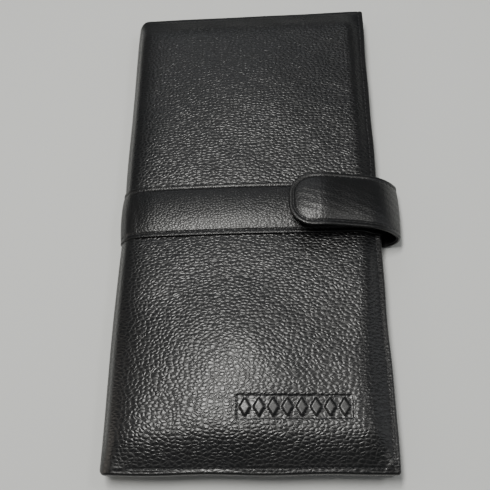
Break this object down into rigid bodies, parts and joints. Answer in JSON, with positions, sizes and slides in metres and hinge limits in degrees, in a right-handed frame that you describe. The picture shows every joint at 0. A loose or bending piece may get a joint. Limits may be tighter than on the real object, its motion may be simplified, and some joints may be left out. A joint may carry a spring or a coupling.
{
  "type": "passport holder",
  "caption": "Tall padded leather passport holder that folds along a spine, with a belt round its middle, inner pockets and a snap-closed strap.",
  "frame": {"origin": "middle of the back face, where the closed holder lies on a table", "axes": "+X from the spine to the open edge, +Y to the top edge along the holder's length, +Z out of the front cover"},
  "size_m": [0.131, 0.24, 0.027],
  "materials": {
    "pebbled_leather": "black full-grain cow leather with an embossed pebble grain, glossy top coat",
    "smooth_leather": "black smooth-milled leather with a soft gloss, used for the belt and the closing strap",
    "lining_leather": "thin black split leather, matt",
    "lining_fabric": "black woven polyester lining",
    "board": "grey-brown bonded leather board, uncoated",
    "foam": "thin dark foam with a cloth backing",
    "thread": "black waxed polyester thread",
    "snap_metal": "nickel-plated steel, satin"
  },
  "bodies": {
    "back_cover": {"back_cover_leather": "pebbled_leather", "back_cover_padding": "foam", "back_cover_board": "board", "back_cover_lining": "lining_fabric", "back_cover_stitching": "thread", "back_belt": "smooth_leather", "back_belt_stitching": "thread", "boarding_pass_pocket": "lining_leather", "passport_pocket": "lining_leather", "passport_pocket_stitching": "thread"},
    "spine": {"spine_leather": "pebbled_leather", "spine_lining": "lining_fabric", "spine_belt": "smooth_leather", "spine_belt_stitching": "thread"},
    "front_cover": {"front_cover_leather": "pebbled_leather", "front_cover_padding": "foam", "front_cover_board": "board", "front_cover_lining": "lining_fabric", "front_cover_stitching": "thread", "front_belt": "smooth_leather", "front_belt_stitching": "thread", "front_slip_pocket": "lining_leather", "card_slot_1": "lining_leather", "card_slot_2": "lining_leather", "card_slot_3": "lining_leather", "card_slot_4": "lining_leather", "card_slot_stitching": "thread", "snap_stud": "snap_metal", "snap_stud_washer": "snap_metal"},
    "closing_strap": {"closing_strap_leather": "smooth_leather", "closing_strap_filler": "foam", "closing_strap_lining": "lining_leather", "closing_strap_stitching": "thread", "snap_socket": "snap_metal", "snap_socket_washer": "snap_metal"}
  },
  "joints": [
    {"name": "spine_fold", "type": "hinge", "parent": "back_cover", "child": "spine", "pos_m": [-0.0587, 0, 0.0013], "axis": [0, -1, 0], "range_deg": [0, 85]},
    {"name": "front_cover_fold", "type": "hinge", "parent": "spine", "child": "front_cover", "pos_m": [-0.0587, 0, 0.0127], "axis": [0, -1, 0], "range_deg": [0, 85]},
    {"name": "strap_open", "type": "hinge", "parent": "back_cover", "child": "closing_strap", "pos_m": [0.068, 0, 0.008], "axis": [0, 1, 0], "range_deg": [0, 160], "deforming": ["closing_strap_leather", "closing_strap_filler", "closing_strap_lining", "closing_strap_stitching", "snap_socket", "snap_socket_washer"]}
  ],
  "couplings": [
    {"joint": "front_cover_fold", "follows": "spine_fold", "ratio": 1}
  ]
}
